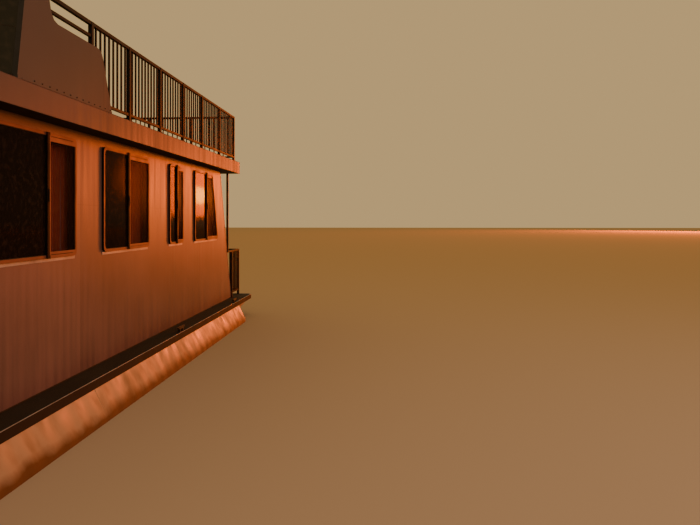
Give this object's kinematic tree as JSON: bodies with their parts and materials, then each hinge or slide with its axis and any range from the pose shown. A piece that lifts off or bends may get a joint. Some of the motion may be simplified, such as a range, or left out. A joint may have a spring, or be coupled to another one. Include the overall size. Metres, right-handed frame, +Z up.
{
  "type": "houseboat",
  "caption": "Pontoon houseboat: raked-end cabin with sliding windows and doors, railed upper deck with windscreen and helm, and a steerable stern drive.",
  "frame": {"origin": "mid-length on the centreline, at the flat bottoms of the pontoons", "axes": "+X to the bow, +Y to port, +Z up"},
  "size_m": [12.2, 4.268, 4.45],
  "materials": {
    "hull_plate": "brushed plate, weathered",
    "deck_coat": "dark non-skid coat with a bare edge",
    "wall_panel": "semi-gloss paint on sheet",
    "roof_fascia": "semi-gloss paint, rain streaks",
    "wing_panel": "satin paint",
    "black_rail": "black powder coat",
    "window_frame": "satin anodised",
    "tinted_glass": "dark tint, polished",
    "curtain_cloth": "matte woven",
    "engine_block": "painted casting",
    "drive_paint": "gloss paint",
    "prop_metal": "satin cast",
    "console_shell": "moulded gel coat",
    "seat_vinyl": "satin vinyl",
    "ladder_tube": "brushed",
    "wheel_rim": "grained rim"
  },
  "bodies": {
    "boat": {"back_cushion": "seat_vinyl", "bow_rail_port": "black_rail", "bow_rail_starboard": "black_rail", "cabin_aft_wall": "wall_panel", "cabin_fore_wall": "wall_panel", "cabin_side_port": "wall_panel", "cabin_side_starboard": "wall_panel", "cabin_window_frame_port": "window_frame", "cabin_window_frame_starboard": "window_frame", "cabin_window_pane_port": "tinted_glass", "cabin_window_pane_starboard": "tinted_glass", "curtains_port": "curtain_cloth", "curtains_starboard": "curtain_cloth", "drive_mount": "drive_paint", "engine_block": "engine_block", "engine_pod": "hull_plate", "fore_pane_port": "tinted_glass", "fore_pane_starboard": "tinted_glass", "galley_window_frame_port": "window_frame", "galley_window_frame_starboard": "window_frame", "galley_window_pane_port": "tinted_glass", "galley_window_pane_starboard": "tinted_glass", "helm_bench": "console_shell", "helm_console": "console_shell", "main_deck": "deck_coat", "pontoon_port": "hull_plate", "pontoon_starboard": "hull_plate", "roof": "roof_fascia", "saloon_window_frame_port": "window_frame", "saloon_window_frame_starboard": "window_frame", "saloon_window_pane_port": "tinted_glass", "saloon_window_pane_starboard": "tinted_glass", "seat_cushion": "seat_vinyl", "stern_ladder": "ladder_tube", "stern_rail_port": "black_rail", "stern_rail_starboard": "black_rail", "upper_rail_aft": "black_rail", "upper_rail_port": "black_rail", "upper_rail_starboard": "black_rail", "washroom_window_frame_port": "window_frame", "washroom_window_frame_starboard": "window_frame", "washroom_window_pane_port": "tinted_glass", "washroom_window_pane_starboard": "tinted_glass", "windscreen": "tinted_glass", "wing_port": "wing_panel", "wing_starboard": "wing_panel"},
    "fore_door": {"fore_door_frame": "window_frame", "fore_door_pane": "tinted_glass"},
    "aft_door": {"aft_door_frame": "window_frame", "aft_door_pane": "tinted_glass"},
    "bow_gate": {"bow_gate": "black_rail"},
    "stern_gate": {"stern_gate": "black_rail"},
    "roof_gate": {"roof_gate": "black_rail"},
    "helm_wheel": {"helm_wheel": "wheel_rim"},
    "drive_gimbal": {"drive_gimbal": "drive_paint"},
    "drive_leg": {"drive_leg": "drive_paint"},
    "propeller": {"propeller": "prop_metal"}
  },
  "joints": [
    {"name": "fore_door_slide", "type": "slide", "parent": "boat", "child": "fore_door", "axis": [0, 1, 0], "range_m": [0, 0.86]},
    {"name": "aft_door_slide", "type": "slide", "parent": "boat", "child": "aft_door", "axis": [0, 1, 0], "range_m": [0, 0.86]},
    {"name": "bow_gate_hinge", "type": "hinge", "parent": "boat", "child": "bow_gate", "pos_m": [5.95, 0.398, 1.3], "axis": [0, 0, -1], "range_deg": [0, 90]},
    {"name": "stern_gate_hinge", "type": "hinge", "parent": "boat", "child": "stern_gate", "pos_m": [-6.07, 0.228, 1.3], "axis": [0, 0, 1], "range_deg": [0, 90]},
    {"name": "roof_gate_hinge", "type": "hinge", "parent": "boat", "child": "roof_gate", "pos_m": [-4.967, -1.082, 3.7], "axis": [0, 0, 1], "range_deg": [0, 90]},
    {"name": "drive_steer", "type": "hinge", "parent": "boat", "child": "drive_gimbal", "pos_m": [-5.225, 0, 0.5], "axis": [0, 0, 1], "range_deg": [-30, 30]},
    {"name": "drive_trim", "type": "hinge", "parent": "drive_gimbal", "child": "drive_leg", "pos_m": [-5.3, 0, 0.5], "axis": [0, 1, 0], "range_deg": [0, 45]},
    {"name": "propeller_spin", "type": "hinge", "parent": "drive_leg", "child": "propeller", "pos_m": [-5.605, 0, 0.19], "axis": [1, 0, 0], "continuous": true},
    {"name": "helm_wheel_turn", "type": "hinge", "parent": "boat", "child": "helm_wheel", "pos_m": [1.44053, 0, 4.18457], "axis": [-0.921, 0, 0.3896], "range_deg": [-360, 360]}
  ],
  "couplings": [
    {"joint": "helm_wheel_turn", "follows": "drive_steer", "ratio": -12}
  ]
}
